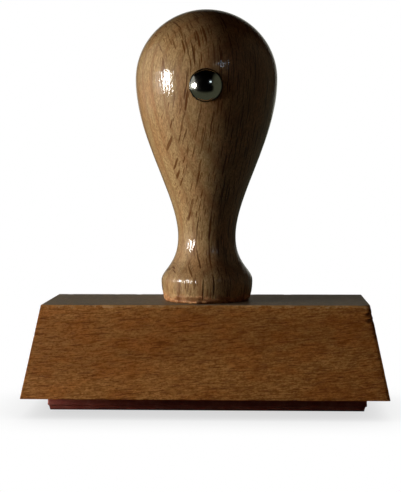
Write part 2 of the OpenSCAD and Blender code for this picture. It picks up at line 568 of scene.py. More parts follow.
@dataclass(frozen=True)
class Beech(Finish):
    """Beech with its rays cut as flecks along the grain, shared by the handle and the block."""

    name: str
    slot: Slot
    way: GrainWay
    pale: Colour
    deep: Colour
    warm: Colour
    mottle_share: float
    flecks: Flecks
    lines: Flecks
    edge: WornEdgeAndPaintedHighlight
    # Painted shade: dull is the colour that upward faces darken towards, unevenly, between the given slopes.
    dull: Colour
    top_shade_slope: Point2
    top_shade_share: float
    shine: float
    pore_depth: float
    ring: Colour = BLACK
    ring_share: float = 0.0
    rings: Rings = Rings()
    fibre_share: float = 0.75
    top_shade_ragged: Point2 = (0.2, 0.7)
    top_shade_least: float = 0.8
    roughness: Point2 = (0.42, 0.58)
    fleck_groove: float = 0.35
    finer_turn: Point3 = (1.0, -1.0, 3.0)
    finer_gap: float = 0.55
    finer_half: float = 0.5
    lacquer: Lacquer | None = None

    def figure(self, bench: ShaderBench) -> tuple[Socket, Socket]:
        """Paints the wood's colour.

        Args:
            bench: Bench of the material.

        Returns:
            The colour, and the flecks' strength from 0 to 1.
        """
        turn = self.way.value
        rings = bench.texture("ShaderNodeTexWave", bench.place(self.rings.cells, turn),
                              Distortion=self.rings.distortion, Detail=self.rings.detail)
        rings.wave_type = "BANDS"
        rings.bands_direction = "Y"
        wave = rings.outputs["Fac"]
        flank = bench.span(wave, *self.rings.flank, 0.0, self.rings.flank_share)
        colour = bench.mix(flank, self.pale, self.deep)
        colour = bench.mix(bench.layer(MOTTLE, self.mottle_share, turn), colour, self.warm)
        for layer in (FIBRE, GRAIN):
            colour = bench.mix(bench.layer(layer, self.fibre_share, turn), colour, self.deep)
        if self.ring_share:
            crest = bench.span(wave, *self.rings.crest, 0.0, self.ring_share)
            colour = bench.mix(crest, colour, self.ring)
        finer = replace(self.flecks, gap=tuple(self.finer_gap * gap for gap in self.flecks.gap),
                        half=tuple(self.finer_half * half for half in self.flecks.half))
        finer_turn = tuple(angle + more for angle, more in zip(turn, self.finer_turn))
        strength = bench.math("MAXIMUM", bench.lenses(self.flecks, turn), bench.lenses(finer, finer_turn))
        strength = bench.math("MULTIPLY", strength, bench.edge_on(turn, self.flecks.fade))
        colour = bench.mix(bench.math("MULTIPLY", strength, self.flecks.share), colour, self.flecks.colour)
        lines = bench.math("MULTIPLY", bench.lenses(self.lines, turn), bench.edge_on(turn, self.lines.fade))
        colour = bench.mix(bench.math("MULTIPLY", lines, self.lines.share), colour, self.lines.colour)
        return colour, strength

    def age(self, bench: ShaderBench, colour: Socket) -> Socket:
        """Darkens what faces upwards with painted shade, and tints one edge, which on the block is a painted
        highlight.

        Args:
            bench: Bench of the material.
            colour: Colour of the fresh wood.

        Returns:
            The colour with its tinted edge and painted shade.
        """
        edge = self.edge
        ragged = bench.raw(RAGGED)
        # The tinted edge is bare torn wood on the handle's lip, and a painted highlight along the block's top
        # edge.
        worn = bench.height_at(*edge.heights, ragged)
        if edge.below:
            worn = bench.math("SUBTRACT", 1.0, worn)
        uneven = bench.span(ragged, *edge.ragged, edge.least * edge.share, edge.share)
        worn = bench.math("MULTIPLY", worn, uneven)
        # Painted shade: upward faces are mixed towards the dull colour, unevenly.
        patchy = bench.span(ragged, *self.top_shade_ragged, self.top_shade_share, self.top_shade_least * self.top_shade_share)
        dull = bench.math("MULTIPLY", bench.facing_up(*self.top_shade_slope), patchy)
        tint = bench.mix(bench.layer(TORN), edge.colour, edge.bright)
        return bench.mix(dull, bench.mix(worn, colour, tint), self.dull)

    def paint(self, bench: ShaderBench) -> None:
        """Makes the wood with its pores and, on the handle, its clear lacquer.

        Args:
            bench: Bench of the material.
        """
        colour, flecks = self.figure(bench)
        turn = self.way.value
        grit = bench.raw(GRIT, turn)
        grooves = bench.math("SUBTRACT", grit, bench.math("MULTIPLY", flecks, self.fleck_groove))
        bench.set(
            Base_Color=self.age(bench, colour),
            Roughness=bench.span(grit, *NOISE_BULK, *self.roughness),
            Specular_IOR_Level=self.shine,
            Normal=bench.bump(grooves, self.pore_depth),
        )
        if self.lacquer is not None:
            self.lacquer.coat(bench, turn, self.edge)


@dataclass(frozen=True)
class PlatedMetal(Finish):
    """Bright or dull plated steel with fine scratches, and painted shade that darkens a rim where one is
    given.
    """

    name: str
    slot: Slot
    colour: Colour
    stain: Colour
    roughness: float
    scratch_depth: float
    # Painted shade: where rim is given, the colour darkens across that band of distances from rim_centre.
    rim_centre: Point3 = (0.0, 0.0, 0.0)
    rim: Point2 | None = None
    rim_shade_share: float = 0.96
    rim_shade: Colour = srgb(20, 17, 14)
    cloud: Layer = Layer((0.7, 0.7, 0.7), detail=3.0, roughness=0.6, low=0.45, high=0.8)
    cloud_share: float = 0.6
    scratch_cells: Point3 = (1.2, 6.0, 9.0)
    scratch_noise: Point2 = (2.0, 0.6)
    scratch_turn: Point3 = (20.0, 35.0, 10.0)
    dull_from: float = 0.3
    dullest: float = 1.8

    def paint(self, bench: ShaderBench) -> None:
        """Makes the metal.

        Args:
            bench: Bench of the material.
        """
        cloud = bench.raw(self.cloud)
        scratches = bench.noise(self.scratch_cells, *self.scratch_noise, self.scratch_turn)
        stained = bench.span(cloud, self.cloud.low, self.cloud.high, 0.0, self.cloud_share)
        colour = bench.mix(stained, self.colour, self.stain)
        # Painted shade: the colour darkens towards the rim.
        if self.rim is not None:
            centre = (self.rim_centre[0], 0.0, self.rim_centre[2])
            across = bench.length("DISTANCE", bench.place((1.0, 0.0, 1.0)), centre)
            colour = bench.mix(bench.span(across, *self.rim, 0.0, self.rim_shade_share), colour, self.rim_shade)
        dull = self.roughness * self.dullest
        bench.set(
            Base_Color=colour,
            Metallic=1.0,
            Roughness=bench.span(cloud, self.dull_from, self.cloud.high, self.roughness, dull),
            Normal=bench.bump(scratches, self.scratch_depth),
        )


@dataclass(frozen=True)
class SpongeRubber(Finish):
    """Dark closed-cell sponge, cut through its cells at the edges, with painted shade in the cells' hollows.
    """

    name: str = "sponge_rubber"
    slot: Slot = Slot.SPONGE
    skin: Colour = srgb(62, 62, 64)
    hollow_shade: Colour = srgb(24, 24, 26)
    large_cells: Point3 = (3.2, 3.2, 3.2)
    fine_cells: Point3 = (7.5, 7.5, 7.5)
    fine_share: float = 0.6
    wall: Point2 = (0.05, 0.3)
    pit_depth: float = 0.12

    def paint(self, bench: ShaderBench) -> None:
        """Makes the sponge.

        Args:
            bench: Bench of the material.
        """
        large = bench.span(bench.walls(self.large_cells), *self.wall)
        fine = bench.span(bench.walls(self.fine_cells), *self.wall, 0.0, self.fine_share)
        pits = bench.math("MAXIMUM", large, fine)
        # Painted shade: the pits of the cells darken towards the hollow colour.
        bench.set(
            Base_Color=bench.mix(pits, self.skin, self.hollow_shade),
            Roughness=0.9,
            Specular_IOR_Level=0.25,
            Normal=bench.bump(bench.math("SUBTRACT", 1.0, pits), self.pit_depth),
        )


@dataclass(frozen=True)
class StampRubber(Finish):
    """Moulded stamp rubber with ink left on the raised print."""

    name: str = "stamp_rubber"
    slot: Slot = Slot.DIE_RUBBER
    body: Colour = srgb(136, 58, 44)
    dusty: Colour = srgb(164, 92, 74)
    ink: Colour = srgb(22, 21, 26)
    ink_heights: Point2 = (0.14, 0.35)
    dust: Layer = Layer((0.4, 0.4, 0.4), detail=4.0, roughness=0.6, low=0.4, high=0.7)
    dust_share: float = 0.55
    speck: Layer = Layer((5.0, 5.0, 5.0), detail=3.0, roughness=0.7, low=0.34, high=0.5)
    ink_shares: Point2 = (0.45, 0.95)
    roughness: Point2 = (0.5, 0.75)
    speck_depth: float = 0.03

    def paint(self, bench: ShaderBench) -> None:
        """Makes the rubber.

        Args:
            bench: Bench of the material.
        """
        speck = bench.raw(self.speck)
        rubber = bench.mix(bench.layer(self.dust, self.dust_share), self.body, self.dusty)
        inked = bench.math("SUBTRACT", 1.0, bench.height_at(*self.ink_heights))
        worn = bench.span(speck, self.speck.low, self.speck.high, *self.ink_shares)
        bench.set(
            Base_Color=bench.mix(bench.math("MULTIPLY", inked, worn), rubber, self.ink),
            Roughness=bench.span(speck, *NOISE_BULK, *self.roughness),
            Normal=bench.bump(speck, self.speck_depth),
        )


@dataclass(frozen=True)
class AdhesiveFilm(Finish):
    """Thin milky film with dust along its cut edge."""

    name: str = "adhesive_film"
    slot: Slot = Slot.ADHESIVE
    clear: Colour = srgb(222, 216, 198)
    dusty: Colour = srgb(176, 166, 146)
    dust: Layer = Layer((1.4, 1.4, 1.4), detail=4.0, roughness=0.65, low=0.4, high=0.7)
    roughness: Point2 = (0.3, 0.6)
    dust_depth: float = 0.02

    def paint(self, bench: ShaderBench) -> None:
        """Makes the film.

        Args:
            bench: Bench of the material.
        """
        dust = bench.raw(self.dust)
        bench.set(
            Base_Color=bench.mix(bench.span(dust, self.dust.low, self.dust.high), self.clear, self.dusty),
            Roughness=bench.span(dust, *NOISE_BULK, *self.roughness),
            Normal=bench.bump(dust, self.dust_depth),
        )


def node_box(node: str) -> tuple[np.ndarray, np.ndarray]:
    """Lowest and highest corner of a CAD node in millimetres."""
    low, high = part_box(node)
    return np.array(low) / MM, np.array(high) / MM


def make_piece(name: str, points: np.ndarray, faces: Faces, smooth: bool = True) -> bpy.types.Object:
    """Makes a mesh piece in the row frame.

    Args:
        name: Name of the piece.
        points: Points in millimetres, one per row.
        faces: Point numbers of each face, turning outwards.
        smooth: True to shade it smooth.

    Returns:
        The object, linked to the scene.
    """
    mesh = bpy.data.meshes.new(name)
    mesh.from_pydata((points * MM).tolist(), [], faces)
    mesh.validate()
    mesh.update()
    mesh.polygons.foreach_set("use_smooth", [smooth] * len(mesh.polygons))
    piece = bpy.data.objects.new(name, mesh)
    bpy.context.scene.collection.objects.link(piece)
    return piece


def sharpen(piece: bpy.types.Object, angle: float) -> None:
    """Keeps edges sharp where a piece bends by more than an angle in degrees."""
    piece.data.set_sharp_from_angle(angle=math.radians(angle))


def finish_piece(piece: bpy.types.Object, finish: Finish, body: Body, *nodes: str) -> None:
    """Dresses a piece, sets it on its body and lets it stand for CAD nodes.

    Args:
        piece: The piece.
        finish: Its finish.
        body: Body that it rides on.
        *nodes: CAD nodes that it replaces.
    """
    finish.dress(piece)
    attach(piece, body.value)
    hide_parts(*nodes)
    log.info("%s rides on %s and stands for %s", piece.name, body.value, ", ".join(nodes))


def dress_node(node: str, finish: Finish, sharp_angle: float = 32.0) -> None:
    """Gives a CAD node that stays in place its finish and smooth shading.

    Args:
        node: Name of the node.
        finish: Its finish.
        sharp_angle: Angle in degrees above which its edges stay sharp.
    """
    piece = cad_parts[node]
    finish.dress(piece)
    piece.data.polygons.foreach_set("use_smooth", [True] * len(piece.data.polygons))
    sharpen(piece, sharp_angle)
    log.info("%s keeps its solid", node)


def cubic(start: Point2, leave: Point2, arrive: Point2, end: Point2, steps: int) -> list[Point2]:
    """Points of a cubic curve, without its last point.

    Args:
        start: First point.
        leave: Pull at the start.
        arrive: Pull at the end.
        end: Last point.
        steps: Number of points.

    Returns:
        The points.
    """
    share = (np.arange(steps) / steps)[:, None]
    rest = 1 - share
    path = (rest**3 * np.array(start) + 3 * rest**2 * share * np.array(leave)
            + 3 * rest * share**2 * np.array(arrive) + share**3 * np.array(end))
    return [tuple(point) for point in path]


def bands(last: int, count: int) -> Faces:
    """Faces that join rings of points, each to the next.

    Args:
        last: Number of the last ring's first point.
        count: Points in a ring.

    Returns:
        The faces, turning outwards.
    """
    return [(low + k, low + (k + 1) % count, low + count + (k + 1) % count, low + count + k)
            for low in range(0, last, count) for k in range(count)]


def lathe(profile: list[Point2], sides: int) -> Mesh:
    """Turns a profile about Z, with both its ends on the axis.

    Args:
        profile: Radius and height of each point, the outside running upwards.
        sides: Points round the axis.

    Returns:
        The points, and the faces.
    """
    angles = 2 * np.pi * np.arange(sides) / sides
    rings = profile[1:-1]
    points = [(0.0, 0.0, profile[0][1])]
    points += [(r * math.sin(a), -r * math.cos(a), z) for r, z in rings for a in angles]
    points.append((0.0, 0.0, profile[-1][1]))
    last = len(points) - 1
    top = last - sides
    faces: Faces = []
    for side in range(sides):
        after = (side + 1) % sides
        faces.append((0, 1 + after, 1 + side))
        for low in range(1, top, sides):
            high = low + sides
            faces.append((low + side, low + after, high + after, high + side))
        faces.append((top + side, top + after, last))
    return np.array(points), faces


@dataclass(frozen=True)
class Crack:
    """A crack along the grain in the foot, where the wood has dried.

    It is widest at its middle and sways a little to both sides.
    """

    turn: float
    low: float
    high: float
    width: float
    depth: float = 0.6
    proud: float = 0.5
    least: float = 0.03
    roundness: float = 0.6
    sway: float = 0.006
    waves: float = 5.0

    def section(self, along: float, path: list[Point2]) -> list[Point3]:
        """Three corners of the crack's wedge.

        Args:
            along: Share of the crack's length, from its lower end.
            path: Outside of the handle, radius and height.

        Returns:
            The two corners outside the wood, and the one in it.
        """
        height = self.low + along * (self.high - self.low)
        opened = max(self.least, math.sin(math.pi * along) ** self.roundness)
        wood = float(np.interp(height, [point[1] for point in path], [point[0] for point in path]))
        outer = wood + self.proud
        inner = wood - self.depth * opened
        turn = math.radians(self.turn) + self.sway * math.sin(self.waves * along + self.turn)
        half = 0.5 * self.width * opened * (1 + self.proud / self.depth) / outer
        corners = ((outer, turn - half), (outer, turn + half), (inner, turn))
        return [(reach * math.sin(angle), -reach * math.cos(angle), height) for reach, angle in corners]


@dataclass
class TurnedHandle:
    """Pear-shaped handle, turned and lacquered, with the pilot bore of its screw."""

    height: float = 60.0
    head_radius: float = 14.65
    crown: float = 14.3
    neck_radius: float = 6.0
    neck_height: float = 13.2
    foot_radius: float = 9.5
    foot_height: float = 4.1
    base_radius: float = 8.2
    crown_full: float = 0.55
    head_full: float = 0.375
    neck_full: float = 0.265
    waist_full: float = 0.635
    bead_full: float = 0.245
    sole_full: float = 0.55
    shank_bore: float = 2.45
    shank_depth: float = 2.0
    core_bore: float = 1.6
    bore_depth: float = 18.5
    nail_drop: float = 16.5
    nail_turn: float = 2.0
    nail_radius: float = 3.25
    nail_bite: float = 0.1
    nail_gap: float = 0.08
    seat_depth: float = 0.02
    seat_round: float = 0.05
    seat_reach: float = 4.0
    seat_sides: int = 96
    sides: int = 192
    steps: int = 36
    sharp_angle: float = 35.0
    tool_marks: float = 0.035
    tool_waves: Waver = Waver(0.5, (0.22, 0.22, 0.35), 4.0)
    foot_top: float = 5.0
    bore_limits: Point2 = (0.9, 1.1)
    lip_height: float = 1.6
    lip_reach: float = 0.15
    lip_front: float = 1.15
    lip_turn: float = -22.0
    lip_focus: int = 4
    lip_start: float = 0.1
    lip_inside: float = 0.95
    lip_rise: Waver = Waver(0.3, (0.5, 0.5, 0.0), 1.0)
    lip_broad: Waver = Waver(0.3, (0.35, 0.35, 0.2), 5.0)
    lip_fine: Waver = Waver(0.2, (1.1, 1.1, 0.4), 8.0)
    cracks: tuple[Crack, ...] = (
        Crack(turn=-2.6, low=0.5, high=5.2, width=0.26),
        Crack(turn=11.0, low=1.0, high=5.9, width=0.36),
        Crack(turn=-24.8, low=1.7, high=4.6, width=0.22),
    )

    def outside(self) -> list[Point2]:
        """Outside profile from the sole up to the crown.

        Returns:
            Radius and height of each point above the block.
        """
        head_height = self.height - self.crown
        head_drop = head_height - self.neck_height
        neck_drop = self.neck_height - self.foot_height
        base, foot = self.base_radius, self.foot_radius
        neck, head = self.neck_radius, self.head_radius
        foot_at = (foot, self.foot_height)
        neck_at = (neck, self.neck_height)
        head_at = (head, head_height)
        sole = cubic((base, 0.0), (base + self.sole_full * (foot - base), 0.0),
                     (foot, (1 - self.sole_full) * self.foot_height), foot_at, self.steps)
        waist = cubic(foot_at, (foot, self.foot_height + self.bead_full * neck_drop),
                      (neck, self.neck_height - self.waist_full * neck_drop), neck_at, self.steps)
        cone = cubic(neck_at, (neck, self.neck_height + self.neck_full * head_drop),
                     (head, head_height - self.head_full * head_drop), head_at, 2 * self.steps)
        crown = cubic(head_at, (head, head_height + self.crown_full * self.crown),
                      (self.crown_full * head, self.height), (0.0, self.height), 2 * self.steps)
        return sole + waist + cone + crown

    def radius_at(self, height: float) -> float:
        """Radius of the outside at a height above the block, from the foot bead upwards."""
        path = [point for point in self.outside() if point[1] >= self.foot_height]
        return float(np.interp(height, [point[1] for point in path], [point[0] for point in path]))

    def on_nail(self, points: np.ndarray) -> np.ndarray:
        """Places points given about the nail's seat, with Z outwards, on the handle.

        Args:
            points: Points about the middle of the seat.

        Returns:
            The points in the row frame.
        """
        height = self.height - self.nail_drop
        wood = min(self.radius_at(height - self.nail_radius), self.radius_at(height + self.nail_radius))
        seat = math.sqrt(wood**2 - self.nail_radius**2) - self.nail_bite
        turn = math.radians(self.nail_turn)
        out = np.array((math.sin(turn), -math.cos(turn), 0.0))
        side = np.array((math.cos(turn), math.sin(turn), 0.0))
        up = np.array((0.0, 0.0, 1.0))
        base = out * seat + up * (height + node_box("handle")[0][2])
        return base + points[:, :1] * side + points[:, 1:2] * up + points[:, 2:3] * out

    def cut(self, handle: bpy.types.Object, points: np.ndarray, faces: Faces) -> None:
        """Cuts a closed shape out of the handle.

        Args:
            handle: The handle.
            points: Points of the shape in the row frame.
            faces: Faces of the shape.
        """
        cutter = make_piece("cutter", points, faces)
        cut = handle.modifiers.new("cut", "BOOLEAN")
        cut.operation = "DIFFERENCE"
        cut.solver = "EXACT"
        cut.object = cutter
        graph = bpy.context.evaluated_depsgraph_get()
        handle.data = bpy.data.meshes.new_from_object(handle.evaluated_get(graph))
        handle.modifiers.clear()
        bpy.data.objects.remove(cutter)

    def cut_seat(self, handle: bpy.types.Object) -> None:
        """Cuts the flat seat that the nail's cap is driven into.

        Args:
            handle: The handle.
        """
        radius = self.nail_radius + self.nail_gap
        low, bend, high = -self.seat_depth, self.seat_round - self.seat_depth, self.seat_reach
        profile = [(0.0, low), (radius - self.seat_round, low), (radius, bend), (radius, high), (0.0, high)]
        points, faces = lathe(profile, self.seat_sides)
        self.cut(handle, self.on_nail(points), faces)

    def cut_crack(self, handle: bpy.types.Object, crack: Crack) -> None:
        """Opens a crack in the handle.

        Args:
            handle: The handle.
            crack: The crack.
        """
        path = self.outside()
        steps = np.linspace(0.0, 1.0, self.steps)
        placed = np.array([corner for along in steps for corner in crack.section(along, path)])
        last = len(placed) - 3
        faces = [(2, 1, 0)] + bands(last, 3) + [(last, last + 1, last + 2)]
        placed[:, 2] += node_box("handle")[0][2]
        self.cut(handle, placed, faces)

    def spread_lip(self, points: np.ndarray) -> None:
        """Spreads the torn lip where the foot is pressed on the block, widest at the front.

        Args:
            points: Points of the handle above the block, moved in place.
        """
        reach = np.hypot(points[:, 0], points[:, 1])
        turn = math.radians(self.lip_turn)
        facing = points[:, 0] * math.sin(turn) - points[:, 1] * math.cos(turn)
        front = np.maximum(0.0, facing / np.maximum(reach, TINY)) ** self.lip_focus
        torn = 1 + self.lip_broad.at(points) + self.lip_fine.at(points)
        rise = points[:, 2] / (self.lip_height * (1 + self.lip_rise.at(points)))
        on_foot = (reach > self.lip_inside * self.base_radius) & (points[:, 2] < self.foot_height)
        swell = (1 - smooth_step(self.lip_start, 1.0, rise)) * on_foot
        grow = swell * (self.lip_reach + self.lip_front * front) * torn
        points[:, :2] *= (1 + grow / np.maximum(reach, 1.0))[:, None]

    def finish(self, base: float) -> Beech:
        """Lacquered beech, bare and torn at the lip.

        Args:
            base: Height of the handle's sole in the row frame.

        Returns:
            The finish.
        """
        return Beech(
            "lacquered_beech", Slot.LACQUERED_BEECH, GrainWay.UPRIGHT,
            pale=srgb(196, 163, 113), deep=srgb(136, 102, 61), warm=srgb(190, 140, 92), mottle_share=0.75,
            ring=srgb(138, 86, 46), ring_share=0.32,
            flecks=Flecks(srgb(104, 58, 12), (1.15, 5.4, 5.4), (0.25, 2.2, 3.0), 1.0, seed=91.7),
            lines=Flecks(srgb(88, 46, 10), (1.2, 3.6, 9.5), (0.15, 2.2, 5.4), 0.95,
                         seed=33.1, bend=0.6, fade=(0.6, 0.85)),
            edge=WornEdgeAndPaintedHighlight(srgb(156, 98, 56), srgb(216, 158, 108), (base + 1.0, base + 1.6), 0.85, below=True),
            # Painted shade: the dull colour darkens the crown and other upward faces.
            dull=srgb(84, 58, 34), top_shade_slope=(0.25, 0.95), top_shade_share=0.5, shine=0.25, pore_depth=0.04,
            lacquer=Lacquer((base + 3.0, base + 26.0), (base + 3.0, base + 11.0)),
        )

    def build(self) -> None:
        """Turns the handle, with the slight waves that the tool and the sanding leave."""
        bore = [(0.0, self.bore_depth), (self.core_bore, self.bore_depth), (self.core_bore, self.shank_depth),
                (self.shank_bore, self.shank_depth), (self.shank_bore, 0.0)]
        points, faces = lathe(bore + self.outside() + [(0.0, self.height)], self.sides)
        reach = np.hypot(points[:, 0], points[:, 1])
        inner, outer = (share * self.base_radius for share in self.bore_limits)
        skin = smooth_step(inner, outer, reach + (points[:, 2] > self.foot_top) * reach)
        ripple = 0.5 + self.tool_waves.at(points)
        shrink = 1 - skin * self.tool_marks * ripple / np.maximum(reach, self.neck_radius)
        points[:, :2] *= shrink[:, None]
        self.spread_lip(points)
        base = node_box("handle")[0][2]
        points[:, 2] += base
        handle = make_piece("turned_handle", points, faces)
        self.cut_seat(handle)
        for crack in self.cracks:
            self.cut_crack(handle, crack)
        sharpen(handle, self.sharp_angle)
        finish_piece(handle, self.finish(base), Body.STAMP, "handle")


@dataclass
class MarkerNail:
    """Domed nail on the front of the head, with its pin in the wood."""

    handle: TurnedHandle
    dome: float = 2.3
    rim_height: float = 0.75
    rim_round: float = 0.16
    wall: float = 0.45
    curl: tuple[Point2, ...] = ((-0.12, -0.02), (-0.02, 0.02), (0.0, 0.1))
    hollow_tip: float = 0.1
    dome_tip: float = 0.02
    # Painted shade: the band of the cap's radius where its rim darkens.
    shaded_rim: Point2 = (0.91, 0.98)
    sides: int = 96
    steps: int = 24

    def cap_profile(self) -> list[Point2]:
        """Half section of the pressed cap, inside first.

        Returns:
            Radius and height of each point above the seat.
        """
        radius = self.handle.nail_radius
        flat = self.dome - 2 * self.wall
        inside = [((radius - self.wall) * math.sin(a), flat * math.cos(a))
                  for a in np.linspace(self.hollow_tip, math.pi / 2, self.steps)]
        rolled = [(radius + out, up) for out, up in self.curl]
        brim = radius - self.rim_round / 2
        rise = self.dome - self.rim_height
        ball = (brim**2 + rise**2) / (2 * rise)
        slope = math.asin(brim / ball)
        turned = [(radius - self.rim_round + self.rim_round * math.cos(a),
                   self.rim_height - self.rim_round / 2 + self.rim_round * math.sin(a))
                  for a in np.linspace(0.0, math.pi / 2 - slope, self.steps // 4, endpoint=False)]
        outside = [(ball * math.sin(a), self.dome - ball + ball * math.cos(a))
                   for a in np.linspace(slope, self.dome_tip, 2 * self.steps)]
        return [(0.0, flat)] + inside + rolled + turned + outside + [(0.0, self.dome)]

    def build(self) -> None:
        """Presses the cap into its seat and dresses the pin."""
        points, faces = lathe(self.cap_profile(), self.sides)
        seat = tuple(self.handle.on_nail(np.zeros((1, 3)))[0])
        # The nickel darkens towards its rim with painted shade.
        rim = tuple(share * self.handle.nail_radius for share in self.shaded_rim)
        bright = PlatedMetal("bright_nickel", Slot.NICKEL, srgb(236, 234, 222), srgb(204, 200, 180),
                             roughness=0.1, scratch_depth=0.0012, rim_centre=seat, rim=rim)
        wire = PlatedMetal("drawn_wire", Slot.STEEL, srgb(170, 170, 168), srgb(120, 116, 108),
                           roughness=0.32, scratch_depth=0.02)
        cap = make_piece("domed_nail_cap", self.handle.on_nail(points), faces)
        finish_piece(cap, bright, Body.STAMP, "nail_cap")
        dress_node("nail_pin", wire)


@dataclass
class DowelScrew:
    """Double-ended screw, hidden between handle and block."""

    finish: PlatedMetal = PlatedMetal(
        "zinc_plate", Slot.ZINC_STEEL, srgb(204, 198, 172), srgb(150, 140, 112),
        roughness=0.3, scratch_depth=0.02)

    def build(self) -> None:
        """Dresses the screw's solid."""
        dress_node("dowel_screw", self.finish)


@dataclass(frozen=True)
class Chip:
    """A small bit of wood lost from the block's edge."""

    place: Point3
    radius: float
    depth: float
    flatness: Point3 = (1.0, 1.0, 1.6)
    pull: float = 0.6

    def bite(self, flat: np.ndarray) -> np.ndarray:
        """How far the chip draws points of the untouched box in.

        Args:
            flat: Points of the box.

        Returns:
            The way of each point.
        """
        gap = np.linalg.norm((flat - np.array(self.place)) * self.flatness, axis=1)
        depth = self.depth * (1 - smooth_step(0.0, self.radius, gap))
        return np.sign(np.array(self.place)) * depth[:, None] * self.pull


@dataclass(frozen=True)
class Notch:
    """A torn place in the worn upright edge, at a distance below the block's top."""

    drop: float
    tall: float
    radius: float


@dataclass
class SlopedBlock:
    """Beech block whose sides lean inwards, with softened and slightly torn edges."""

    lean: float = 11.5
    edge: float = 0.12
    edge_waver: Waver = Waver(0.35, (0.5, 0.5, 0.5), 9.0)
    worn_edge: float = 0.75
    worn_zone: Point2 = (0.3, 0.5)
    worn_growth: float = 0.5
    worn_waver: Waver = Waver(0.3, (0.0, 0.0, 0.8), 9.0)
    notches: tuple[Notch, ...] = (
        Notch(drop=1.9, tall=0.55, radius=1.7),
        Notch(drop=3.05, tall=0.5, radius=2.0),
        Notch(drop=5.4, tall=0.4, radius=0.6),
    )
    fine: Point3 = (0.75, 0.75, 0.2)
    near: tuple[float, ...] = (0.0, 0.06, 0.14, 0.24, 0.34, 0.46, 0.6, 0.8, 1.05)
    near_end: float = 1.4
    saw_marks: float = 0.04
    saw_zone: Point2 = (0.492, 0.4985)
    saw_waver: Waver = Waver(0.5, (0.0, 1.7, 0.22), 3.0)
    plane_marks: float = 0.02
    plane_zone: Point2 = (0.485, 0.497)
    plane_waver: Waver = Waver(0.5, (0.12, 0.0, 0.9), 6.0)
    chip_seed: int = 7
    chip_count: int = 26
    chip_level_share: float = 0.6
    chip_radius: Point2 = (0.4, 0.9)
    chip_depth: Point2 = (0.06, 0.18)

    def ticks(self, length: float, fine: float) -> np.ndarray:
        """Places of grid lines along one side, close together near both ends.

        Args:
            length: Length of the side.
            fine: Distance between lines away from the ends.

        Returns:
            The places, from minus half to plus half the length.
        """
        near = np.array(self.near)
        end = length / 2 - self.near_end
        middle = np.linspace(-end, end, max(2, round((length - 2 * self.near_end) / fine)))
        return np.concatenate((-length / 2 + near, middle, length / 2 - near[::-1]))

    def grid(self, size: np.ndarray) -> Mesh:
        """Box of fine squares.

        Args:
            size: Length, depth and height.

        Returns:
            The points about the box's middle, and the faces.
        """
        lines = [self.ticks(length, fine) for length, fine in zip(size, self.fine)]
        counts = [len(line) for line in lines]
        numbers: dict[tuple[int, int, int], int] = {}
        points: list[Point3] = []

        def number(key: tuple[int, int, int]) -> int:
            """Number of the point at a grid place, made at its first use.

            Args:
                key: Number of the grid line along each axis.

            Returns:
                The point's number.
            """
            if key not in numbers:
                numbers[key] = len(points)
                points.append(tuple(lines[axis][key[axis]] for axis in range(3)))
            return numbers[key]

        faces: Faces = []
        for axis in range(3):
            first, second = (axis + 1) % 3, (axis + 2) % 3
            for end in (0, counts[axis] - 1):
                for i in range(counts[first] - 1):
                    for j in range(counts[second] - 1):
                        corners = []
                        for di, dj in ((0, 0), (1, 0), (1, 1), (0, 1)):
                            key = [0, 0, 0]
                            key[axis], key[first], key[second] = end, i + di, j + dj
                            corners.append(number(tuple(key)))
                        faces.append(tuple(corners if end else corners[::-1]))
        return np.array(points), faces

    def soften(self, points: np.ndarray, size: np.ndarray) -> np.ndarray:
        """Rounds the edges, and most of all the worn upright edge at the front right.

        Args:
            points: Points of the box about its middle.
            size: Length, depth and height.

        Returns:
            The moved points.
        """
        radius = (self.edge * (1 + self.edge_waver.at(points)))[:, None]
        core = np.clip(points, -size / 2 + radius, size / 2 - radius)
        away = points - core
        moved = core + away * radius / np.maximum(np.linalg.norm(away, axis=1, keepdims=True), TINY)
        rise = points[:, 2]
        worn = self.worn_edge * (1 + self.worn_growth * smooth_step(*self.worn_zone, rise / size[2]))
        worn = worn * (1 + self.worn_waver.at(points))
        for notch in self.notches:
            below = np.abs(rise - size[2] / 2 + notch.drop)
            worn = worn + notch.radius * (1 - smooth_step(0.0, notch.tall, below))
        middle = np.column_stack((size[0] / 2 - worn, worn - size[1] / 2))
        front_right = np.array((1.0, -1.0))
        outwards = (moved[:, :2] - middle) * front_right
        corner = (outwards > 0).all(axis=1)
        scale = outwards.max(axis=1) / np.maximum(np.linalg.norm(outwards, axis=1), TINY)
        turned = middle + outwards * front_right * scale[:, None]
        moved[corner, :2] = turned[corner]
        return moved

    def chips(self, size: np.ndarray) -> list[Chip]:
        """Torn places along the edges.

        Args:
            size: Length, depth and height.

        Returns:
            The chips, about the middle of the untapered box.
        """
        half = size / 2
        found = []
        seeded = np.random.default_rng(self.chip_seed)
        for _ in range(self.chip_count):
            along = seeded.uniform(-1, 1)
            side = seeded.choice((-1, 1))
            upper = seeded.choice((-1, 1))
            if seeded.random() < self.chip_level_share:
                place = (along * half[0], side * half[1], upper * half[2])
            else:
                place = (upper * half[0], side * half[1], along * half[2])
            found.append(Chip(place, seeded.uniform(*self.chip_radius), seeded.uniform(*self.chip_depth)))
        return found

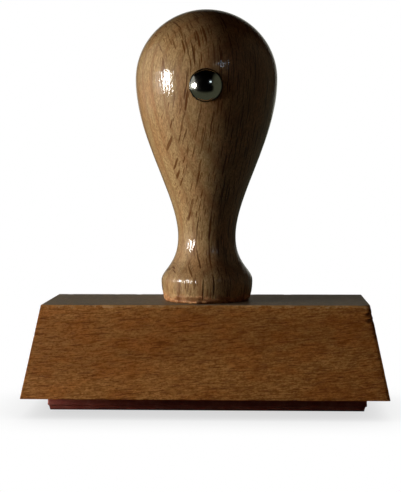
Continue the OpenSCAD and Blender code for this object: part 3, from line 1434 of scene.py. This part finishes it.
    def finish(self, top: float) -> Beech:
        """Oiled beech with a painted highlight along its upper edge, and painted shade and a painted grey
        reflection on its top.

        Args:
            top: Height of the block's top in the row frame.

        Returns:
            The finish.
        """
        return Beech(
            "oiled_beech", Slot.OILED_BEECH, GrainWay.ALONG_BLOCK,
            pale=srgb(198, 138, 74), deep=srgb(118, 64, 0), warm=srgb(184, 101, 30), mottle_share=0.5,
            flecks=Flecks(srgb(96, 42, 0), (0.95, 8.0, 4.2), (0.15, 3.4, 1.6), 0.7),
            lines=Flecks(srgb(96, 42, 0), (1.9, 9.0, 9.0), (0.21, 4.2, 3.8), 0.5, bend=0.6, fade=(0.6, 0.85)),
            # Painted highlight: the edge colours make a pale uneven band along the top edge.
            edge=WornEdgeAndPaintedHighlight(srgb(190, 142, 86), srgb(220, 176, 118), (top - 0.55, top - 0.2), 0.7, below=False),
            # Painted shade and painted reflection: the dull colour greys and darkens the top face.
            dull=srgb(112, 110, 98), top_shade_slope=(0.8, 0.97), top_shade_share=0.9, shine=0.2, pore_depth=0.12,
        )

    def build(self) -> None:
        """Cuts the block, softens it and leaves its saw and plane marks."""
        low, high = node_box("mount_block")
        size = high - low
        flat, faces = self.grid(size)
        points = self.soften(flat, size)
        for chip in self.chips(size):
            points -= chip.bite(flat)
        marks = ((0, self.saw_zone, self.saw_waver, self.saw_marks),
                 (1, self.plane_zone, self.plane_waver, self.plane_marks))
        for axis, zone, waver, depth in marks:
            face = smooth_step(*zone, np.abs(flat[:, axis]) / size[axis])
            points[:, axis] -= np.sign(flat[:, axis]) * face * (0.5 + waver.at(flat)) * depth
        inset = (points[:, 2] + size[2] / 2) * math.tan(math.radians(self.lean))
        for axis in range(2):
            points[:, axis] *= 1 - 2 * inset / size[axis]
        points += (low + high) / 2
        block = make_piece("sloped_block", points, faces)
        finish_piece(block, self.finish(high[2]), Body.STAMP, "mount_block")


@dataclass
class PrintLayers:
    """Rubber die with its print, the sponge and the two films, trimmed together with scissors."""

    wobble: float = 0.16
    trim: Waver = Waver(0.5, (0.09, 0.09, 0.0), 2.0)
    corner: float = 0.35
    step: float = 0.3
    least_steps: int = 4
    relief: float = 1.0
    sink: float = 0.1
    rim: float = 0.07
    rim_levels: tuple[Point2, ...] = ((0.0, 1.0), (0.4, 0.3), (1.0, 0.0))
    flank: float = 0.28
    flank_levels: tuple[Point2, ...] = ((0.55, 0.35), (0.85, 0.7))
    floor_levels: tuple[Point2, ...] = ((0.0, 0.1), (0.06, 0.02), (0.15, 0.0), (0.7, 0.05))
    top_draw: float = 0.02
    margin: float = 0.6
    rule: float = 0.8
    lozenge: float = 6.0
    lozenge_gap: float = 0.7
    lozenge_step: float = 9.0
    dot: float = 0.8
    dot_sides: int = 28
    travel: float = 0.5
    sponge_rows: int = 9
    sponge_skin: float = 0.05
    sponge_inset: float = 0.04
    pit_depth: float = 0.22
    pits: Waver = Waver(1.0, (2.3, 2.3, 2.3), 11.0)
    fine_pits: Waver = Waver(0.5, (5.0, 5.0, 5.0), 3.0)
    film_round: float = 0.03
    sharp_angle: float = 40.0
    sponge_sharp_angle: float = 50.0

    def outline(self, low: np.ndarray, high: np.ndarray) -> np.ndarray:
        """Trimmed outline of the layers, just inside their box.

        Args:
            low: Lowest corner of the layers.
            high: Highest corner.

        Returns:
            Points round the outline, anticlockwise from above.
        """
        half = (high - low)[:2] / 2
        path: list[Point2] = []
        sides = (((1, -1), (0, 1)), ((1, 1), (-1, 0)), ((-1, 1), (0, -1)), ((-1, -1), (1, 0)))
        for start, way in sides:
            begin = np.array(start) * half
            run = np.array(way)
            length = 2 * abs(float(run @ half))
            count = max(self.least_steps, round(length / self.step))
            for place in np.linspace(0, length, count, endpoint=False):
                path.append(tuple(begin + run * place))
        points = np.array(path)
        inner = half - self.corner
        core = np.clip(points, -inner, inner)
        away = points - core
        length = np.linalg.norm(away, axis=1, keepdims=True)
        points = core + away * self.corner / np.maximum(length, TINY)
        flat = np.column_stack((points, np.zeros(len(points))))
        inward = self.wobble * (0.5 + self.trim.at(flat))
        return points * (1 - inward[:, None] / half)

    def sheet(self, outline: np.ndarray, levels: list[Point2]) -> Mesh:
        """Closed sheet with the outline at each level.

        Args:
            outline: Points round the sheet.
            levels: Height of each level, and how far its edge is drawn in.

        Returns:
            The points, and the faces.
        """
        count = len(outline)
        middle = outline.mean(axis=0)
        reach = np.abs(outline - middle).max(axis=0)
        points: list[Point3] = []
        for height, draw in levels:
            ring = middle + (outline - middle) * (1 - draw / reach)
            points += [(x, y, height) for x, y in ring]
        top = len(points) - count
        lower, upper = tuple(range(count))[::-1], tuple(range(top, len(points)))
        return np.array(points), [lower] + bands(top, count) + [upper]

    def print_shapes(self, half: np.ndarray) -> list[np.ndarray]:
        """Outlines of the raised print: two rules, lozenges and dots.

        Args:
            half: Half of the die's length and depth.

        Returns:
            The outlines, anticlockwise.
        """
        end, edge = half - self.margin
        across = self.rule / 2
        shapes = []
        for middle in (across - edge, edge - across):
            low, high = middle - across, middle + across
            shapes.append(np.array(((-end, low), (end, low), (end, high), (-end, high))))
        tall = edge - self.rule - self.lozenge_gap
        reach = self.lozenge / 2
        lozenge = np.array(((-reach, 0), (0, -tall), (reach, 0), (0, tall)))
        angles = 2 * np.pi * np.arange(self.dot_sides) / self.dot_sides
        circle = self.dot * np.column_stack((np.cos(angles), np.sin(angles)))
        pairs = math.floor((end - reach) / self.lozenge_step)
        for number in range(-pairs, pairs + 1):
            shapes.append(lozenge + (number * self.lozenge_step, 0))
        for number in range(-pairs, pairs):
            shapes.append(circle + ((number + 0.5) * self.lozenge_step, 0))
        return shapes

    def raised(self, shape: np.ndarray) -> Mesh:
        """One raised shape of the print, with a soft rim and flanks that widen to the floor.

        Args:
            shape: Outline of its face.

        Returns:
            The points, and the faces.
        """
        levels = [(self.rim * up, self.rim * draw) for up, draw in self.rim_levels]
        levels += [(self.relief * up, -self.flank * out) for up, out in self.flank_levels]
        return self.sheet(shape, levels + [(self.relief + self.sink, -self.flank)])

    def build_die(self) -> None:
        """Moulds the rubber die with its raised print."""
        low, high = node_box("rubber_die")
        floor = low[2] + self.relief
        levels = [(floor + up, draw) for up, draw in self.floor_levels] + [(high[2], self.top_draw)]
        parts = [self.sheet(self.outline(low, high), levels)]
        parts += [self.raised(shape) for shape in self.print_shapes((high - low)[:2] / 2)]
        points: list[np.ndarray] = []
        faces: Faces = []
        count = 0
        for part_points, part_faces in parts:
            points.append(part_points)
            faces += [tuple(count + corner for corner in face) for face in part_faces]
            count += len(part_points)
        die = make_piece("rubber_print_die", np.vstack(points), faces)
        sharpen(die, self.sharp_angle)
        finish_piece(die, StampRubber(), Body.DIE, "rubber_die")

    def build_sponge(self) -> None:
        """Cuts the sponge, with open cells along its edge."""
        low, high = node_box("sponge_layer")
        rows = np.linspace(low[2], high[2], self.sponge_rows)
        points, faces = self.sheet(self.outline(low, high), [(height, 0.0) for height in rows])
        pits = np.maximum(0, self.pits.at(points)) + np.maximum(0, self.fine_pits.at(points))
        height = points[:, 2]
        inside = (height > low[2] + self.sponge_skin) & (height < high[2] - self.sponge_skin)
        inset = inside * self.pit_depth * pits + self.sponge_inset
        points[:, :2] *= 1 - inset[:, None] / ((high - low)[:2] / 2)
        sponge = make_piece("sponge_cushion", points, faces)
        sharpen(sponge, self.sponge_sharp_angle)
        finish_piece(sponge, SpongeRubber(), Body.STAMP, "sponge_layer")
        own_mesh(sponge)

    def build_film(self, node: str, name: str, body: Body) -> None:
        """Cuts one film.

        Args:
            node: CAD node of the film.
            name: Name of the piece.
            body: Body that it rides on.
        """
        low, high = node_box(node)
        levels = [(low[2], self.film_round), ((low[2] + high[2]) / 2, 0.0), (high[2], self.film_round)]
        film = make_piece(name, *self.sheet(self.outline(low, high), levels))
        sharpen(film, self.sharp_angle)
        finish_piece(film, AdhesiveFilm(), body, node)

    def build(self) -> None:
        """Makes the four layers, from the block downwards."""
        self.build_film("upper_film", "upper_adhesive_film", Body.STAMP)
        self.build_sponge()
        self.build_film("lower_film", "lower_adhesive_film", Body.DIE)
        self.build_die()


@dataclass(frozen=True)
class Lamp:
    """A flat lamp that looks at the stamp's axis.

    The turn goes from the front towards +X and the beam spreads in degrees, lengths are in
    millimetres, and the power is in watts. It lights matt surfaces, is mirrored, or both.
    """

    name: str
    turn: float
    distance: float
    height: float
    size: Point2
    power: float
    colour: Colour
    lights: bool = False
    mirrored: bool = False
    aim: float = 50.0
    spread: float = 180.0

    def hang(self) -> None:
        """Hangs the lamp in the scene."""
        data = bpy.data.lights.new(self.name, "AREA")
        data.shape = "ELLIPSE"
        data.size, data.size_y = (side * MM for side in self.size)
        data.energy = self.power
        data.color = self.colour
        data.spread = math.radians(self.spread)
        lamp = bpy.data.objects.new(self.name, data)
        bpy.context.scene.collection.objects.link(lamp)
        angle = math.radians(self.turn)
        place = Vector((self.distance * math.sin(angle), -self.distance * math.cos(angle), self.height)) * MM
        lamp.location = place
        lamp.visible_diffuse = self.lights
        lamp.visible_glossy = self.mirrored
        lamp.rotation_euler = (Vector((0, 0, self.aim)) * MM - place).to_track_quat("-Z", "Y").to_euler()


DAYLIGHT: Colour = (1.0, 0.97, 0.92)
SPARKLE: Colour = (1.0, 0.98, 0.95)


@dataclass
class Studio:
    """Camera, lamps, floor and background."""

    camera_turn: float = 2.45
    camera_distance: float = 264.6
    camera_height: float = 48.3
    yaw: float = 2.74
    pitch: float = -3.16
    roll: float = -0.15
    focal_pixels: float = 1271.0
    sensor: float = 36.0
    near_clip: float = 0.01
    lamps: tuple[Lamp, ...] = (
        Lamp("key_lamp", turn=-72.5, distance=260.0, height=58.0, size=(130.0, 100.0), power=0.75,
             colour=DAYLIGHT, lights=True),
        Lamp("glint_lamp", turn=-63.5, distance=275.0, height=76.0, size=(86.0, 94.0), power=0.54,
             colour=SPARKLE, mirrored=True),
        Lamp("card_lamp", turn=-98.0, distance=260.0, height=110.0, size=(360.0, 300.0), power=0.075,
             colour=(1.0, 1.0, 0.97), mirrored=True),
        Lamp("rim_lamp", turn=-79.0, distance=275.0, height=76.0, size=(78.0, 94.0), power=0.03,
             colour=SPARKLE, mirrored=True),
        Lamp("fill_lamp", turn=28.0, distance=400.0, height=212.0, size=(84.0, 44.0), power=0.028,
             colour=(0.7, 0.85, 1.0), mirrored=True),
        Lamp("back_lamp", turn=182.5, distance=300.0, height=36.0, size=(60.0, 60.0), power=0.6,
             colour=DAYLIGHT, lights=True),
        Lamp("end_lamp", turn=90.0, distance=180.0, height=10.0, size=(90.0, 8.0), power=0.0005,
             colour=DAYLIGHT, lights=True, aim=10.0, spread=8.0),
    )
    ambient: float = 0.024
    side_ambient: float = 0.08
    side_ambient_zone: Point2 = (0.2, 1.0)
    ambient_colour: Colour = (1.0, 0.6, 0.38)
    backdrop_glow: float = 0.42
    backdrop_zone: Point2 = (0.86, 0.99)
    backdrop_colour: Colour = (1.0, 1.0, 0.86)
    side_glow: Colour = (0.046, 0.049, 0.034)
    side_glow_zone: Point2 = (0.52, 0.77)
    floor_half: float = 3000.0
    floor_height: float = -0.05
    floor_bounce: Colour = (0.08, 0.065, 0.05)
    floor_drop: float = 92.0
    floor_round: float = 0.6
    floor_glow_zone: Point2 = (0.75, 1.25)
    shadow: float = 0.35
    shadow_reach: float = 16.0

    def aim_camera(self) -> None:
        """Sets the camera where the photograph was taken from."""
        data = bpy.data.cameras.new("camera")
        camera = bpy.data.objects.new("camera", data)
        bpy.context.scene.collection.objects.link(camera)
        data.sensor_width = self.sensor
        data.lens = self.focal_pixels / max(IMAGE_WIDTH, IMAGE_HEIGHT) * self.sensor
        data.clip_start = self.near_clip
        angles = (self.camera_turn, self.yaw, self.pitch, self.roll)
        turn, yaw, pitch, roll = (math.radians(angle) for angle in angles)
        forward = Vector((-math.sin(yaw) * math.cos(pitch), math.cos(yaw) * math.cos(pitch), math.sin(pitch)))
        right = Vector((math.cos(yaw), math.sin(yaw), 0.0))
        up = right.cross(forward)
        rolled_right = right * math.cos(roll) + up * math.sin(roll)
        rolled_up = up * math.cos(roll) - right * math.sin(roll)
        place = (self.camera_distance * math.sin(turn) * MM, -self.camera_distance * math.cos(turn) * MM,
                 self.camera_height * MM)
        rows = [(rolled_right[k], rolled_up[k], -forward[k], place[k]) for k in range(3)]
        camera.matrix_world = Matrix((*rows, (0.0, 0.0, 0.0, 1.0)))
        bpy.context.scene.camera = camera

    def lay_floor(self) -> None:
        """Lays the pale floor, which shows white with the object's shadow on it.

        Glossy surfaces mirror it dark ahead of the stamp, with a dim glow close to it and to its right.
        """
        corners = np.array(((-1, -1), (1, -1), (1, 1), (-1, 1))) * self.floor_half
        points = np.column_stack((corners, np.full(len(corners), self.floor_height)))
        floor = make_piece("floor", points, [(0, 1, 2, 3)], smooth=False)
        material = bpy.data.materials.new("pale_floor")
        bench = ShaderBench(material)
        bench.set(Base_Color=self.floor_bounce, Roughness=0.9, Specular_IOR_Level=0.1)
        rays = bench.node("ShaderNodeLightPath").outputs
        ahead = bench.math("MAXIMUM", bench.math("MULTIPLY", bench.axis(bench.place(), "Y"), -1.0), 1.0)
        aside = bench.math("DIVIDE", bench.axis(bench.place(), "X"), ahead)
        below = bench.math("DIVIDE", self.floor_drop, ahead)
        glowing = bench.span(bench.math("SMOOTH_MAX", aside, below, self.floor_round), *self.floor_glow_zone)
        shade = bench.node("ShaderNodeAmbientOcclusion")
        shade.inputs["Distance"].default_value = self.shadow_reach * MM
        shown = bench.mix(self.shadow, WHITE, shade.outputs["Color"])
        mirrored = bench.mix(glowing, BLACK, self.side_glow)
        glow = bench.node("ShaderNodeEmission")
        bench.feed(glow.inputs["Color"], bench.mix(rays["Is Glossy Ray"], shown, mirrored))
        seen = bench.math("MAXIMUM", rays["Is Camera Ray"], rays["Is Transmission Ray"])
        blend = bench.node("ShaderNodeMixShader")
        bench.feed(blend.inputs[0], bench.math("MAXIMUM", seen, rays["Is Glossy Ray"]))
        bench.feed(blend.inputs[1], bench.tree.nodes["Principled BSDF"].outputs[0])
        bench.feed(blend.inputs[2], glow.outputs[0])
        bench.feed(bench.tree.nodes["Material Output"].inputs["Surface"], blend.outputs[0])
        floor.data.materials.append(material)

    def set_world(self) -> None:
        """Makes the white background, and the dim room that lights matt surfaces and that gloss mirrors."""
        world = bpy.data.worlds.new("studio")
        bpy.context.scene.world = world
        bench = ShaderBench(world)
        rays = bench.node("ShaderNodeLightPath").outputs
        way = bench.node("ShaderNodeTexCoord").outputs["Generated"]
        aside, behind = bench.axis(way, "X"), bench.axis(way, "Y")
        dim, bright = (tuple(level * channel for channel in self.ambient_colour)
                       for level in (self.ambient, self.side_ambient))
        room = bench.mix(bench.span(aside, *self.side_ambient_zone, shape="LINEAR"), dim, bright)
        mirrored = bench.mix(bench.span(aside, *self.side_glow_zone, shape="LINEAR"), BLACK, self.side_glow)
        backdrop = bench.span(behind, *self.backdrop_zone, 0.0, self.backdrop_glow, shape="LINEAR")
        mirrored = bench.mix(backdrop, mirrored, self.backdrop_colour)
        colour = bench.mix(rays["Is Glossy Ray"], room, mirrored)
        for kind in ("Is Camera Ray", "Is Transmission Ray"):
            colour = bench.mix(rays[kind], colour, WHITE)
        bench.feed(bench.tree.nodes["Background"].inputs["Color"], colour)

    def build(self) -> None:
        """Sets up the studio."""
        bpy.context.scene.view_settings.view_transform = "Standard"
        self.aim_camera()
        self.lay_floor()
        self.set_world()
        for lamp in self.lamps:
            lamp.hang()


def main() -> None:
    """Builds the stamp and its studio."""
    logging.basicConfig(level=logging.INFO, format="%(name)s: %(message)s")
    handle = TurnedHandle()
    for maker in (Studio(), handle, MarkerNail(handle), DowelScrew(), SlopedBlock(), PrintLayers()):
        maker.build()


if __name__ == "__main__":
    main()
